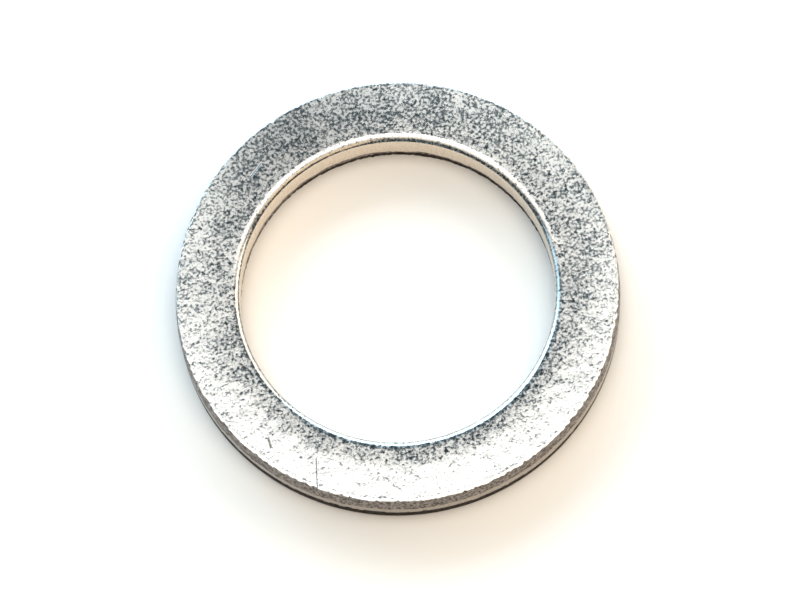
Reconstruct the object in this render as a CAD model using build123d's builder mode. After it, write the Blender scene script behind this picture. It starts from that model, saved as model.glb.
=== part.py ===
from build123d import *
import os

# A flat sealing ring for an M14 drain plug or banjo bolt. It is one piece of soft aluminium,
# stamped from 2 mm strip: a punch pierces the bore, then a second punch blanks the ring
# out around it. Both punches come down on the top face, so the two cut walls are alike but
# upside down to each other:
#
#   bore, from the top down:    a rolled edge, a bright straight land, a torn break, a crisp edge
#   rim, from the bottom up:    a rolled edge, a bright straight land, a torn break, a crisp edge
#
# The underside lies on the XY plane, and the Z axis runs up through the middle of the bore.
# Sizes are in millimetres.

# The ring
bore_diameter = 14.2  # straight part of the bore, which clears an M14 thread
outer_diameter = 20.0  # straight part of the rim
thickness = 2.0

# The tools: the gap on each side between a punch and its die
piercing_clearance = 0.04
blanking_clearance = 0.09

# The bore's wall
bore_roll_width = 0.40  # how far from the wall the top face begins to draw down
bore_roll_depth = 0.24
bore_land = 1.14  # height of the straight part

# The rim's wall
rim_roll_radius = 0.12  # tighter than the bore's
rim_land = 0.99

# Tumbling takes the burr off the two crisp edges
edge_round = 0.03

bore_radius = bore_diameter / 2
rim_radius = outer_diameter / 2

# Each break runs to the edge that the opposite tool cut, one clearance away from the land.
bore_break_end = bore_radius + piercing_clearance
rim_break_end = rim_radius - blanking_clearance

with BuildPart() as sealing_washer:
    with BuildSketch(Plane.XZ):
        with BuildLine():
            bore_roll = EllipticalCenterArc(
                (bore_radius + bore_roll_width, thickness - bore_roll_depth),
                bore_roll_width,
                bore_roll_depth,
                start_angle=90,
                arc_size=90,
            )
            bore_wall = Line(bore_roll @ 1, (bore_radius, (bore_roll @ 1).Y - bore_land))
            bore_break = Line(bore_wall @ 1, (bore_break_end, 0))
            rim_roll = CenterArc(
                (rim_radius - rim_roll_radius, rim_roll_radius),
                rim_roll_radius,
                start_angle=270,
                arc_size=90,
            )
            Line(bore_break @ 1, rim_roll @ 0)
            rim_wall = Line(rim_roll @ 1, (rim_radius, rim_roll_radius + rim_land))
            rim_break = Line(rim_wall @ 1, (rim_break_end, thickness))
            Line(rim_break @ 1, bore_roll @ 0)
        make_face()
    revolve(axis=Axis.Z)

    # The crisp edges: the largest circle on the top face and the smallest on the underside.
    rings_by_height = sealing_washer.edges().filter_by(GeomType.CIRCLE).group_by(Axis.Z)
    rim_edge = rings_by_height[-1].sort_by(SortBy.RADIUS)[-1]
    bore_edge = rings_by_height[0].sort_by(SortBy.RADIUS)[0]
    fillet([rim_edge, bore_edge], edge_round)

sealing_washer.part.label = "sealing_washer"

os.makedirs("parts", exist_ok=True)
export_step(sealing_washer.part, "parts/sealing_washer.step")
print(sealing_washer.part.label, round(sealing_washer.part.volume, 2), "mm3")
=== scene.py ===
# %% [markdown]
# # A stamped metal sealing washer
# The washer is one flat ring of soft aluminium. It was punched from sheet, then tumbled in
# a barrel of stones to take off the burrs. Those two steps leave nearly all there is to see:
# the shape of the cut walls, and the speckled, pitted skin of the faces. The walls are also
# dark along their foot, and that is painted here as shade where they meet the floor.
# We load the imported part first, because it fixes where the ring lies and how big it is.

# %% Load the imported part
import math

import bmesh
import bpy
from mathutils import Matrix, Vector, noise


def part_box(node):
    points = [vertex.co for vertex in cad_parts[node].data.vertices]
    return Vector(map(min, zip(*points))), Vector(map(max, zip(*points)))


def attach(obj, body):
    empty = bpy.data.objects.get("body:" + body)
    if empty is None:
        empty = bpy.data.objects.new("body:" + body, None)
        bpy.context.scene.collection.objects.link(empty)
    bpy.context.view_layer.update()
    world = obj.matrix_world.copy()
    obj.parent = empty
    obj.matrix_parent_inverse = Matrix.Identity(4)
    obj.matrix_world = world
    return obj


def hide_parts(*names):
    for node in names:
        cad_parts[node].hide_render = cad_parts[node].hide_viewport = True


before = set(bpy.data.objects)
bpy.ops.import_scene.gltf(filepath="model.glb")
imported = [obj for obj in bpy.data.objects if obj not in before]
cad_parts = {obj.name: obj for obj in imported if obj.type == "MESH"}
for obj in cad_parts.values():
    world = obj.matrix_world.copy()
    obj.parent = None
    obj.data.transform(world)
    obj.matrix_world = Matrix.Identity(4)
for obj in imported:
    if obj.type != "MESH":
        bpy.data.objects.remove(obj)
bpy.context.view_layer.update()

lowest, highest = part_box("sealing_washer")
MM = 0.001
rim_radius = (highest[0] - lowest[0]) / 2 / MM
thickness = (highest[2] - lowest[2]) / MM
print("ring", round(rim_radius * 2, 3), "mm across,", round(thickness, 3), "mm thick")

# %% [markdown]
# ## The section
# A punch leaves the same four marks on any wall it cuts. First the sheet is drawn down into a
# rolled edge, next it is sheared into a straight shiny land, then it tears, and the tear ends
# in a crisp edge. On the bore this runs from the top face down, and on the rim from the
# underside up. The ring is drawn in millimetres, because Blender merges and bevels by fixed
# small distances that suit numbers near one. It becomes metres at the end.

# %% Sizes of the section, in millimetres
bore_radius = 7.1
bore_tool_gap, rim_tool_gap = 0.04, 0.09
bore_roll_width, bore_roll_depth = 0.40, 0.24
rim_roll_radius = 0.12
bore_land, rim_land = 1.14, 0.99
edge_round = 0.03

bore_land_foot = thickness - bore_roll_depth - bore_land
rim_land_head = rim_roll_radius + rim_land
print("torn part of the bore", round(bore_land_foot, 2), "mm high, of the rim",
      round(thickness - rim_land_head, 2))

# %% [markdown]
# ## Drawing the slice
# A rolled edge is a quarter of an ellipse. The operator that draws a quarter circle is spin,
# given one vertex, and scaling the circle afterwards makes it the ellipse. Straight runs are
# single edges. We bevel the two crisp corners while the outline still has few points.

# %% A helper for a rolled edge
def rolled_edge(outline, middle, width, depth, first, steps):
    """Draw a quarter of an ellipse about middle, starting at the compass point first."""
    before = set(outline.verts)
    start = outline.verts.new(first)
    swept = bmesh.ops.spin(outline, geom=[start], cent=(0, 0, 0), axis=(0, 1, 0),
                           dvec=(0, 0, 0), angle=-math.pi / 2, steps=steps, use_merge=False)
    end = [v for v in swept["geom_last"] if isinstance(v, bmesh.types.BMVert)][0]
    points = [v for v in outline.verts if v not in before]
    bmesh.ops.scale(outline, vec=(width, 1, depth), verts=points)
    bmesh.ops.translate(outline, vec=middle, verts=points)
    return start, end


# %% The outline of the slice
bore_roll_steps, rim_roll_steps = 14, 8
edge_round_steps = 3

outline = bmesh.new()
bore_top, bore_side = rolled_edge(
    outline, (bore_radius + bore_roll_width, 0, thickness - bore_roll_depth),
    bore_roll_width, bore_roll_depth, (0, 0, 1), bore_roll_steps)
rim_bottom, rim_side = rolled_edge(
    outline, (rim_radius - rim_roll_radius, 0, rim_roll_radius),
    rim_roll_radius, rim_roll_radius, (0, 0, -1), rim_roll_steps)
bore_foot = outline.verts.new((bore_radius, 0, bore_land_foot))
bore_crisp = outline.verts.new((bore_radius + bore_tool_gap, 0, 0))
rim_head = outline.verts.new((rim_radius, 0, rim_land_head))
rim_crisp = outline.verts.new((rim_radius - rim_tool_gap, 0, thickness))
for pair in ((bore_side, bore_foot), (bore_foot, bore_crisp), (bore_crisp, rim_bottom),
             (rim_side, rim_head), (rim_head, rim_crisp), (rim_crisp, bore_top)):
    outline.edges.new(pair)
bmesh.ops.bevel(outline, geom=[bore_crisp, rim_crisp], offset=edge_round,
                offset_type="OFFSET", segments=edge_round_steps, profile=0.5,
                affect="VERTICES", material=-1)
print("outline", len(outline.verts), "points, before it is divided")

# %% [markdown]
# ## Enough points for the torn metal
# The torn walls need a point every few hundredths of a millimetre, or the tears can't be
# modelled. The bore's land and the underside are smooth and need few. The top face needs more
# for its dents, and the rim's land more for the edge of its grime. So each straight edge is
# divided by its own spacing.

# %% Divide the straight runs
torn_spacing, rim_land_spacing, top_spacing, plain_spacing = 0.042, 0.09, 0.12, 0.24
bore_wall_end, rim_wall_start = 7.28, 9.75  # radii that part the walls from the faces
hair = 0.01  # nearer than this to a face's height counts as on the face


def spacing_for(edge):
    """The distance between points that this edge needs, in millimetres."""
    middle = (edge.verts[0].co + edge.verts[1].co) / 2
    on_torn_bore = middle.x < bore_wall_end and middle.z < bore_land_foot
    on_torn_rim = middle.x > rim_wall_start and middle.z > rim_land_head
    if on_torn_bore or on_torn_rim:
        return torn_spacing
    if middle.z < hair or middle.x < bore_wall_end:
        return plain_spacing
    if middle.z > thickness - hair:
        return top_spacing
    return rim_land_spacing


for edge in list(outline.edges):
    cuts = int(edge.calc_length() / spacing_for(edge))
    if cuts > 0:
        bmesh.ops.subdivide_edges(outline, edges=[edge], cuts=cuts)
print("outline", len(outline.verts), "points, after")

# %% [markdown]
# ## Spinning the ring
# Spin turns the slice all the way round. use_merge closes the last step onto the first.

# %% Spin
ring = outline
turns = 860
bmesh.ops.spin(ring, geom=ring.verts[:] + ring.edges[:], cent=(0, 0, 0), axis=(0, 0, 1),
               dvec=(0, 0, 0), angle=math.tau, steps=turns, use_merge=True)
bmesh.ops.recalc_face_normals(ring, faces=ring.faces)
open_edges = sum(1 for edge in ring.edges if len(edge.link_faces) != 2)
print("ring", len(ring.verts), "points,", len(ring.faces) * 2, "triangles,",
      open_edges, "open edges")

# %% [markdown]
# ## Which skin goes where
# Five skins meet on this ring: the tumbled faces, the two burnished lands, the torn walls, and
# a painted shade along the foot of both walls. Each quad is told its skin now, while the shape
# is exact. The painted shade's upper edge wanders a little, because a straight one would climb
# in steps as tall as a quad.

# %% Hand out the skins
TUMBLED, BORE_LAND, RIM_LAND, TORN, FOOT_SHADE = range(5)
middle_radius = 8.5  # between the bore's wall and the rim's
steepest_face = 0.30  # a quad whose normal rises more than this belongs to a face
# The dark skin at the foot of the walls is painted shade where they meet the floor, reaching
# higher on the side that faces the left-front.
foot_shade_on_rim, foot_shade_on_bore = 0.46, 0.25  # how high it reaches, in millimetres
foot_shade_more = 0.21  # how much higher, on the side that gets the least light
foot_shade_ragged, foot_shade_ragged_size = 0.07, 0.30
least_lit_side = Vector((-0.57, -0.82, 0))


def skin_of(face):
    """Which of the five skins a quad of the exact ring has."""
    middle = face.calc_center_median()
    radius = math.hypot(middle.x, middle.y)
    on_rim = radius > middle_radius
    facing = middle.dot(least_lit_side) / radius * (1 if on_rim else -1)
    foot_shade_height = (foot_shade_on_rim if on_rim else foot_shade_on_bore) + foot_shade_more * facing
    ragged_place = Vector((middle.x, middle.y, 0)) / foot_shade_ragged_size
    foot_shade_height += foot_shade_ragged * noise.noise(ragged_place)
    on_wall = radius > rim_radius - rim_roll_radius or radius < bore_radius + bore_tool_gap
    if on_wall and hair < middle.z < foot_shade_height:
        return FOOT_SHADE
    if abs(face.normal.z) > steepest_face:
        return TUMBLED
    if on_rim:
        return TORN if middle.z > rim_land_head else RIM_LAND
    return TORN if middle.z < bore_land_foot else BORE_LAND


ring.faces.ensure_lookup_table()
ring.normal_update()
for face in ring.faces:
    face.smooth = True
    face.material_index = skin_of(face)
print("quads by skin",
      [sum(1 for f in ring.faces if f.material_index == skin) for skin in range(5)])

# %% [markdown]
# ## Tearing the walls
# A torn wall is rough in depth, and the line where shearing gave way to tearing wanders up and
# down. Perlin noise gives both, and it always gives the same answer for the same point. The
# crisp edges also lost small bites of metal, so noise above a threshold moves them inward.

# %% Helpers for the torn walls
noise_falloff, noise_ratio, noise_layers = 0.9, 2.1, 3


def fade(value, low, high):
    """0 at or below low, 1 at or above high, smooth between."""
    share = min(max((value - low) / (high - low), 0.0), 1.0)
    return share * share * (3 - 2 * share)


def roughness_at(point, size, seed):
    """Rough noise of about one millimetre amplitude, for features of the given size."""
    place = point / size + Vector((seed, seed * 0.7, seed * 1.3))
    return noise.fractal(place, noise_falloff, noise_ratio, noise_layers)


# %% Move the points of the torn walls
wander, wander_size, wander_reach = 0.11, 0.55, 0.35
tear_depth, tear_size, tear_blend = 0.030, 0.16, 0.15
bite_depth, bite_size, bite_full = 0.055, 0.17, 0.45
bite_starts, bite_ends = 0.22, 0.02  # distances below the crisp edge
wander_seed, tear_seed = 4.0, 7.0
rim_bite_seed, bore_bite_seed = Vector((3, 8, 1)), Vector((9, 2, 5))

moved = 0
for vert in ring.verts:
    exact = vert.co.copy()
    radius = math.hypot(exact.x, exact.y)
    outward = Vector((exact.x / radius, exact.y / radius, 0))
    if radius > rim_wall_start:  # the rim tears upward, and its metal lies inward
        border, crisp, way, seed = rim_land_head, thickness, 1, rim_bite_seed
    elif radius < bore_wall_end:  # the bore does both the other way
        border, crisp, way, seed = bore_land_foot, 0.0, -1, bore_bite_seed
    else:
        continue
    torn = fade(way * exact.z, way * border, way * border + tear_blend)
    bite = fade(noise.noise(exact / bite_size + seed), 0.0, bite_full)
    bite *= fade(way * exact.z, way * crisp - bite_starts, way * crisp - bite_ends)
    near_border = 1 - fade(abs(exact.z - border), 0.0, wander_reach)
    level_place = Vector((exact.x, exact.y, 0))
    vert.co.z += wander * near_border * roughness_at(level_place, wander_size, wander_seed)
    rough = tear_depth * torn * roughness_at(exact, tear_size, tear_seed)
    vert.co += outward * (way * (rough - bite_depth * bite))
    moved += 1
print("torn-wall points moved", moved)

# %% [markdown]
# ## Tumbling marks
# The stones in the barrel leave shallow overlapping dents. They are only a few thousandths of a
# millimetre deep, but on a reflecting face a dent that shallow already turns dark or bright.
# Every dent goes inward, so the washer still fits inside its own thickness.

# %% Dent the faces
dent_depth = 0.004
large_dents, small_dents, small_share = 0.42, 0.24, 0.6  # two sizes, and the small ones' part
large_dents_seed = Vector((5, 5, 5))
deepest = 1.6  # the two noises together never rise above this
bore_side_fade, rim_side_fade = (7.12, 7.5), (9.80, 9.90)
shoulder_drop = 0.018  # the top face also dips a little toward the bore
shoulder_fade = (7.2, 8.3)

for vert in ring.verts:
    radius = math.hypot(vert.co.x, vert.co.y)
    on_face = fade(radius, *bore_side_fade) * (1 - fade(radius, *rim_side_fade))
    up = 1 if vert.co.z > thickness / 2 else -1
    if on_face > 0:
        dent = (noise.noise(vert.co / large_dents + large_dents_seed)
                + small_share * noise.noise(vert.co / small_dents))
        vert.co.z += up * dent_depth * on_face * (dent - deepest)
    if up > 0 and on_face > 0:
        vert.co.z -= shoulder_drop * (1 - fade(radius, *shoulder_fade))
print("lowest point", round(min(v.co.z for v in ring.verts), 4), "mm")

# %% Finish the ring's mesh, in metres
bmesh.ops.recalc_face_normals(ring, faces=ring.faces)
bmesh.ops.scale(ring, vec=(MM, MM, MM), verts=ring.verts)
mesh = bpy.data.meshes.new("washer_ring")
ring.to_mesh(mesh)
ring.free()
washer = bpy.data.objects.new("washer_ring", mesh)
bpy.context.scene.collection.objects.link(washer)
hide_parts("sealing_washer")
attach(washer, "root")
print("mesh", len(mesh.polygons), "quads")

# %% [markdown]
# ## Metal
# All five skins lie on bare aluminium, and differ in how rough and how dirty they are. The
# darkest, along the foot of the walls, is painted shade.
# A helper makes the bare metal, and each skin adds its own grain to it. Grain is read from
# Object coordinates, so it stays on the metal when anything moves.

# %% Helpers for the metal
def bare_metal(name, colour, roughness):
    """A metal, with its node tree, its shader and a position in metres."""
    material = bpy.data.materials.new(name)
    material.use_nodes = True
    tree = material.node_tree
    shader = tree.nodes["Principled BSDF"]
    shader.inputs["Metallic"].default_value = 1.0
    shader.inputs["Base Color"].default_value = (*colour, 1)
    shader.inputs["Roughness"].default_value = roughness
    place = tree.nodes.new("ShaderNodeTexCoord").outputs["Object"]
    return material, tree, shader, place


def grain(tree, place, size_mm, detail=2.0):
    """Noise whose blobs are about size_mm across."""
    texture = tree.nodes.new("ShaderNodeTexNoise")
    texture.inputs["Scale"].default_value = 1 / (size_mm * MM)
    texture.inputs["Detail"].default_value = detail
    tree.links.new(place, texture.inputs["Vector"])
    return texture.outputs["Fac"]


def remap(tree, value, low, high, to_low, to_high):
    """Stretch value from low..high to to_low..to_high, and hold it there."""
    node = tree.nodes.new("ShaderNodeMapRange")
    ends = {"From Min": low, "From Max": high, "To Min": to_low, "To Max": to_high}
    for socket, number in ends.items():
        node.inputs[socket].default_value = number
    tree.links.new(value, node.inputs["Value"])
    return node.outputs["Result"]


def emboss(tree, shader, height, depth_mm, under=None):
    """Raise the surface by height, over any earlier relief."""
    node = tree.nodes.new("ShaderNodeBump")
    node.inputs["Distance"].default_value = depth_mm * MM
    node.inputs["Strength"].default_value = 1.0
    tree.links.new(height, node.inputs["Height"])
    if under:
        tree.links.new(under, node.inputs["Normal"])
    tree.links.new(node.outputs["Normal"], shader.inputs["Normal"])
    return node.outputs["Normal"]


def two_tone(tree, share, dark, light):
    """Blend from dark to light as share goes from 0 to 1."""
    node = tree.nodes.new("ShaderNodeMix")
    node.data_type = "RGBA"
    tree.links.new(share, node.inputs["Factor"])
    node.inputs["A"].default_value = (*dark, 1)
    node.inputs["B"].default_value = (*light, 1)
    return node.outputs["Result"]


# %% Helpers for marks that have a place and a direction
scratch_core = 0.3  # the part of a scratch's width that is fully marked
scratch_taper = 0.9  # the part of its length before it fades


def vector_maths(tree, operation, first, second=None):
    """One vector operation. second is a constant, a socket or nothing."""
    node = tree.nodes.new("ShaderNodeVectorMath")
    node.operation = operation
    tree.links.new(first, node.inputs[0])
    if isinstance(second, tuple):
        node.inputs[1].default_value = second
    elif second is not None:
        tree.links.new(second, node.inputs[1])
    return node.outputs["Value" if operation in ("DOT_PRODUCT", "LENGTH") else "Vector"]


def maths(tree, operation, first, second=None):
    """One operation on numbers. Either may be a constant."""
    node = tree.nodes.new("ShaderNodeMath")
    node.operation = operation
    for socket, value in zip(node.inputs, (first, second)):
        if isinstance(value, (int, float)):
            socket.default_value = value
        elif value is not None:
            tree.links.new(value, socket)
    return node.outputs["Value"]


def scratch(tree, place, start_mm, end_mm, width_mm):
    """1 on a straight scratch in the faces, 0 away from it."""
    start, end = Vector(start_mm), Vector(end_mm)
    run = (end - start).normalized()
    away = vector_maths(tree, "SUBTRACT", place, (start.x * MM, start.y * MM, 0.0))
    along = vector_maths(tree, "DOT_PRODUCT", away, (run.x, run.y, 0.0))
    across = vector_maths(tree, "DOT_PRODUCT", away, (-run.y, run.x, 0.0))
    near = remap(tree, maths(tree, "ABSOLUTE", across),
                 width_mm * MM * scratch_core, width_mm * MM, 1.0, 0.0)
    half = (end - start).length * MM / 2
    middle = maths(tree, "ABSOLUTE", maths(tree, "SUBTRACT", along, half))
    inside = remap(tree, middle, half * scratch_taper, half, 1.0, 0.0)
    return maths(tree, "MULTIPLY", near, inside)


# %% [markdown]
# ### The tumbled skin
# Spots about 0.13 mm across make the salt-and-pepper look: a smooth spot mirrors one place in
# the room, and a rough one gathers light from all round it. The deepest spots hold dirt, and
# toward the bore the face holds more of it and is darker. Tumbling also dragged short streaks
# outward near the rim. They are as smooth as the smooth spots, and their noise is read from a
# direction and a radius, so it is drawn out along the radius. A few single scratches are
# listed one by one, and one broad patch of painted shade darkens the back left of the face.

# %% Marks listed one by one, from the middle of the bore
scratches = [  # start and end in millimetres, then the width
    ((-4.35, -7.40), (-4.43, -8.87), 0.036),
    ((-6.38, -6.26), (-6.29, -6.82), 0.060),
    ((-6.07, 6.05), (-5.47, 6.71), 0.050),
    ((8.30, -0.09), (8.62, -0.09), 0.060),
    ((-5.05, -7.30), (-4.95, -7.37), 0.090),
]
# A patch of painted shade on the back left of the face: its middle, then where it is full,
# where it ends and how dark it gets.
back_left_shade_middle = (-0.0045, 0.0082, 0.0)  # in metres
back_left_shade_core, back_left_shade_edge, back_left_shade_tone = 0.001, 0.006, 0.68
print("scratches", len(scratches))

# %% Numbers for the tumbled skin, with radii in metres
spot_mm, fine_mm, cloud_mm, streak_mm = 0.135, 0.07, 1.5, 0.13
rim_zone_from, rim_zone_to = 0.0078, 0.0094  # the face grows brighter, smoother and cleaner from the first radius to the second
streaks_from, streaks_to = 0.0087, 0.0096
streak_circle = 0.009  # the radius where a streak has its own width
streak_stretch = 0.25  # streaks are four times as long as they are wide
streak_none, streak_full = 0.34, 0.26
dirt_none, dirt_full, rim_zone_less_dirt = 0.42, 0.33, 0.07
fine_share, cloud_share, rim_zone_smoother = 0.45, 0.22, 0.05
rough_above, smooth_below = 1.005, 0.695
roughest, smoothest = 0.36, 0.07
# how dark the colour is at the bore's side of the face
near_bore_tone = 0.78
dirt_colour = (0.22, 0.22, 0.23)
grey_metal, pale_metal = (0.78, 0.80, 0.81), (0.90, 0.91, 0.91)
cloud_grey, cloud_pale = 0.35, 0.65
fine_relief, spot_relief, scratch_relief = 0.0010, 0.0040, 0.010  # millimetres


# %% The tumbled skin
def drawn_out_streaks(tree, flat, radius):
    """1 on short streaks that point away from the bore, and only near the rim."""
    around = vector_maths(tree, "MULTIPLY", vector_maths(tree, "NORMALIZE", flat),
                          (streak_circle, streak_circle, 0.0))
    outward = tree.nodes.new("ShaderNodeCombineXYZ")
    tree.links.new(maths(tree, "MULTIPLY", radius, streak_stretch), outward.inputs["Z"])
    streak_place = vector_maths(tree, "ADD", around, outward.outputs["Vector"])
    streaks = grain(tree, streak_place, streak_mm, 1.5)
    return maths(tree, "MULTIPLY", remap(tree, streaks, streak_none, streak_full, 0.0, 1.0),
                 remap(tree, radius, streaks_from, streaks_to, 0.0, 1.0))


def tumbled_skin():
    """Aluminium speckled by tumbling, with dirt, streaks, scratches and a patch of painted
    shade.
    """
    material, tree, shader, place = bare_metal("tumbled_aluminium", (0.80, 0.81, 0.82), 0.15)
    spots = grain(tree, place, spot_mm, 3.0)
    fine = grain(tree, place, fine_mm, 1.0)
    clouds = grain(tree, place, cloud_mm, 3.0)
    flat = vector_maths(tree, "MULTIPLY", place, (1.0, 1.0, 0.0))
    radius = vector_maths(tree, "LENGTH", flat)
    rim_zone = remap(tree, radius, rim_zone_from, rim_zone_to, 0.0, 1.0)

    marks = None
    for start, end, width in scratches:
        mark = scratch(tree, place, start, end, width)
        marks = mark if marks is None else maths(tree, "MAXIMUM", marks, mark)

    clean = maths(tree, "ADD", spots, maths(tree, "MULTIPLY", rim_zone, rim_zone_less_dirt))
    dirt = remap(tree, clean, dirt_none, dirt_full, 0.0, 1.0)
    dirt = maths(tree, "MAXIMUM", dirt, marks)

    uneven = spots
    for layer, share in ((fine, fine_share), (clouds, cloud_share), (rim_zone, rim_zone_smoother)):
        uneven = maths(tree, "ADD", uneven, maths(tree, "MULTIPLY", layer, share))
    smooth = remap(tree, uneven, rough_above, smooth_below, 0.0, 1.0)
    smooth = maths(tree, "MAXIMUM", smooth, drawn_out_streaks(tree, flat, radius))
    tree.links.new(remap(tree, smooth, 0.0, 1.0, roughest, smoothest),
                   shader.inputs["Roughness"])

    # Painted shade: the colour darkens toward a point at the back left of the face.
    from_patch = vector_maths(tree, "SUBTRACT", flat, back_left_shade_middle)
    from_patch = vector_maths(tree, "LENGTH", from_patch)
    bright = remap(tree, from_patch, back_left_shade_core, back_left_shade_edge, back_left_shade_tone, 1.0)
    # The colour is also darker toward the bore.
    bright = maths(tree, "MULTIPLY", bright, remap(tree, rim_zone, 0.0, 1.0, near_bore_tone, 1.0))
    cloud = remap(tree, clouds, cloud_grey, cloud_pale, 0.0, 1.0)
    metal = vector_maths(tree, "MULTIPLY",
                         two_tone(tree, bright, (0.0, 0.0, 0.0), (1.0, 1.0, 1.0)),
                         two_tone(tree, cloud, grey_metal, pale_metal))
    colour = tree.nodes.new("ShaderNodeMix")
    colour.data_type = "RGBA"
    tree.links.new(dirt, colour.inputs["Factor"])
    tree.links.new(metal, colour.inputs["A"])
    colour.inputs["B"].default_value = (*dirt_colour, 1)
    tree.links.new(colour.outputs["Result"], shader.inputs["Base Color"])

    under = emboss(tree, shader, fine, fine_relief)
    under = emboss(tree, shader, spots, spot_relief, under)
    emboss(tree, shader, maths(tree, "SUBTRACT", 1.0, marks), scratch_relief, under)
    return material


# %% [markdown]
# ### The cut walls
# The tools wiped the lands smooth, and both show fine lines down the wall, where the tools
# dragged. The rim's land is coloured darker than the bore's, as painted shade, and the lands
# and the tear carry a painted warm tint. The tear is crystalline and dull with dark hollows.
# The foot of each wall is darker still: a painted shade where the wall meets the floor. That
# skin isn't a metal: seen this close to edge-on, even a black metal would mirror the floor.

# %% A burnished land
line_mm, line_squash = 0.10, 0.12  # squashing the noise's height draws its lines out
smoothest_land, roughest_land = 0.20, 0.34
line_relief = 0.003


def burnished_skin(name, colour):
    """Smooth metal with fine lines down the wall."""
    material, tree, shader, place = bare_metal(name, colour, 0.26)
    drawn = tree.nodes.new("ShaderNodeMapping")
    drawn.inputs["Scale"].default_value = (1, 1, line_squash)
    tree.links.new(place, drawn.inputs["Vector"])
    lines = grain(tree, drawn.outputs["Vector"], line_mm, 2.0)
    tree.links.new(remap(tree, lines, 0.3, 0.7, smoothest_land, roughest_land),
                   shader.inputs["Roughness"])
    emboss(tree, shader, lines, line_relief)
    return material


# %% A dull, grainy skin, for the tear and the painted shade at the foot
crystal_mm = 0.13
hollow_below, crystal_above = 0.38, 0.60
hollow_rough, crystal_rough = 0.62, 0.45


def dull_skin(name, dark, light, depth_mm, metallic=1.0, shine=0.5):
    """Crystals, light on top and dark in the hollows."""
    material, tree, shader, place = bare_metal(name, light, 0.5)
    shader.inputs["Metallic"].default_value = metallic
    shader.inputs["Specular IOR Level"].default_value = shine
    crystals = grain(tree, place, crystal_mm, 3.0)
    clean = remap(tree, crystals, hollow_below, crystal_above, 0.0, 1.0)
    tree.links.new(two_tone(tree, clean, dark, light), shader.inputs["Base Color"])
    tree.links.new(remap(tree, clean, 0.0, 1.0, hollow_rough, crystal_rough),
                   shader.inputs["Roughness"])
    emboss(tree, shader, crystals, depth_mm)
    return material


# %% Put the skins on, in the order of their numbers
mesh.materials.append(tumbled_skin())
# The rim's land is coloured darker than the bore's as painted shade, and the warm tint of the
# lands and the tear is painted too.
mesh.materials.append(burnished_skin("bore_land", (0.84, 0.76, 0.66)))
mesh.materials.append(burnished_skin("rim_land", (0.45, 0.405, 0.365)))
mesh.materials.append(dull_skin("torn_wall", (0.115, 0.10, 0.09), (0.38, 0.34, 0.315), 0.030))
# The fifth skin is painted shade: a near-black band along the foot of both walls.
mesh.materials.append(dull_skin("painted_foot_shade", (0.006, 0.004, 0.003), (0.026, 0.018, 0.012),
                                0.010, metallic=0.0, shine=0.08))
print("skins", [m.name for m in mesh.materials])

# %% [markdown]
# ## Floor
# A white sheet. The camera and the metal see it as pure white, while light bouncing off it is
# a little weaker, as from real paper. It still takes the ring's shadow.

# %% The floor
floor_size = 3.0
bounced_white, seen_white = (0.50, 0.47, 0.43), (1.0, 1.0, 1.0)

floor_mesh = bpy.data.meshes.new("floor")
sheet = bmesh.new()
bmesh.ops.create_grid(sheet, x_segments=1, y_segments=1, size=floor_size)
sheet.to_mesh(floor_mesh)
sheet.free()
floor = bpy.data.objects.new("floor", floor_mesh)
bpy.context.scene.collection.objects.link(floor)

paper = bpy.data.materials.new("white_paper")
paper.use_nodes = True
tree = paper.node_tree
shader = tree.nodes["Principled BSDF"]
path = tree.nodes.new("ShaderNodeLightPath").outputs
seen = maths(tree, "MAXIMUM", path["Is Camera Ray"], path["Is Glossy Ray"])
seen = maths(tree, "MAXIMUM", seen, path["Is Transmission Ray"])
tree.links.new(two_tone(tree, seen, bounced_white, seen_white), shader.inputs["Base Color"])
shader.inputs["Roughness"].default_value = 1.0
shader.inputs["Specular IOR Level"].default_value = 0.0
floor_mesh.materials.append(paper)
print("floor", floor_size * 2, "m across")

# %% [markdown]
# ## Light
# A flat face is a mirror for whatever hangs above it. The two panels overhead end a little
# behind the washer, so the front of the ring mirrors them and the back mirrors the dim room
# beyond. The lower panels stand where the flat face can't mirror them into this camera. They
# give the cool line on the near edge of the bore, and they tint the shadow: cool from behind
# and the left, warm from the front and the right.

# %% A helper for panels, and the panels
def panel(name, place, aim, width, depth, level, colour):
    """A soft rectangular light. level is its brightness as seen, where 1 is white."""
    light = bpy.data.lights.new(name, "AREA")
    light.shape = "RECTANGLE"
    light.size, light.size_y = width, depth
    light.color = colour
    light.energy = level * width * depth * math.pi
    lamp = bpy.data.objects.new(name, light)
    lamp.location = place
    lamp.rotation_euler = (Vector(aim) - Vector(place)).to_track_quat("-Z", "Y").to_euler()
    bpy.context.scene.collection.objects.link(lamp)


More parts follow.
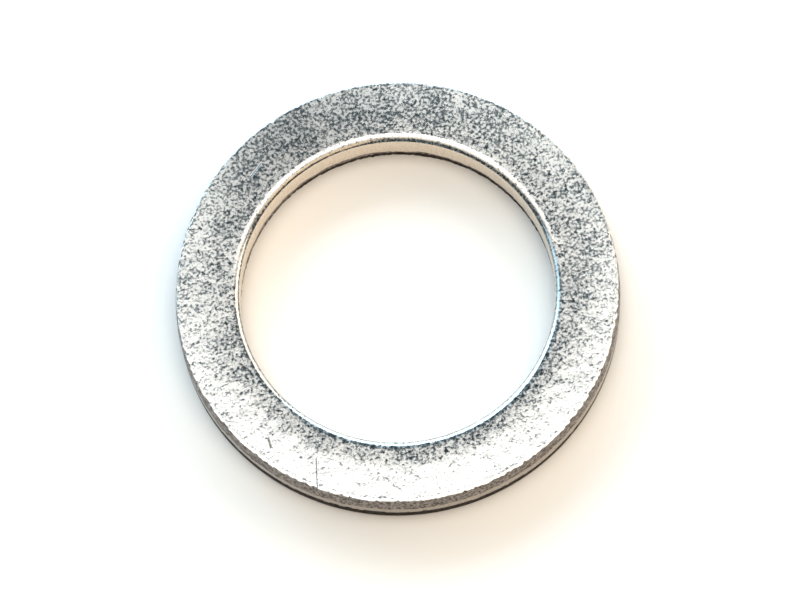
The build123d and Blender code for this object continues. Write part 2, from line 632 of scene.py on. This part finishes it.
washer_spot = (0, 0, 0)
panels = [  # name, place, aim, width, depth, level and colour
    ("overhead", (0.0, -0.105, 0.60), (0.0, -0.105, 0.0), 0.90, 0.510, 1.04,
     (1.0, 0.83, 0.64)),
    ("bright", (0.0, 0.029, 0.59), (0.0, 0.029, 0.0), 0.50, 0.280, 1.90, (1.0, 0.97, 0.94)),
    ("cool_back", (-0.10, 0.62, 0.29), washer_spot, 1.1, 0.38, 4.8, (0.66, 0.86, 1.0)),
    ("cool_left", (-0.50, 0.41, 0.36), washer_spot, 0.80, 0.44, 1.75, (0.54, 0.82, 1.0)),
    ("warm_front", (0.32, -0.42, 0.45), washer_spot, 0.60, 0.42, 1.45, (1.0, 0.71, 0.42)),
    ("warm_right", (0.58, 0.27, 0.36), washer_spot, 0.70, 0.40, 2.9, (1.0, 0.84, 0.64)),
]
for settings in panels:
    panel(*settings)
print("panels", [settings[0] for settings in panels])

# %% The room, which is darker below than above
room_low, room_high = (0.04, 0.04, 0.04), (0.105, 0.142, 0.156)
low_until, high_from = 0.05, 0.8  # how far a direction rises, from 0 level to 1 straight up

world = bpy.data.worlds.new("room")
bpy.context.scene.world = world
world.use_nodes = True
tree = world.node_tree
height = tree.nodes.new("ShaderNodeSeparateXYZ")
tree.links.new(tree.nodes.new("ShaderNodeTexCoord").outputs["Generated"],
               height.inputs["Vector"])
rising = remap(tree, height.outputs["Z"], low_until, high_from, 0.0, 1.0)
background = tree.nodes["Background"]
tree.links.new(two_tone(tree, rising, room_low, room_high), background.inputs["Color"])
background.inputs["Strength"].default_value = 1.0
print("room", room_low, "to", room_high)

# %% [markdown]
# ## Camera
# A long lens looks steeply down. The tilt and the slight turn about the line of sight put the
# ring's ellipse where it belongs in the frame.

# %% The camera
picture_width, picture_height = 800, 599
sensor_width_mm = 36.0
focal_px = 4422.0
distance = 0.2000
nearest_seen = 0.01
elevation = math.radians(71.48)
turned = math.radians(6.03)
ring_middle_px = (398.6, 303.0)

lens = bpy.data.cameras.new("camera")
lens.sensor_width = sensor_width_mm
lens.lens = focal_px * lens.sensor_width / picture_width
lens.clip_start = nearest_seen
camera = bpy.data.objects.new("camera", lens)
bpy.context.scene.collection.objects.link(camera)
toward_camera = Vector((0, -math.cos(elevation), math.sin(elevation)))
looking = (-toward_camera).to_track_quat("-Z", "Y").to_matrix().to_4x4()
looking = looking @ Matrix.Rotation(-turned, 4, "Z")
across_px = picture_width / 2 - ring_middle_px[0]
up_px = ring_middle_px[1] - picture_height / 2
slide = looking @ Vector((across_px, up_px, 0)) * (distance / focal_px)
camera.matrix_world = Matrix.Translation(toward_camera * distance + slide) @ looking
bpy.context.scene.camera = camera
bpy.context.scene.view_settings.view_transform = "Standard"
print("lens", round(lens.lens, 1), "mm at", distance, "m")
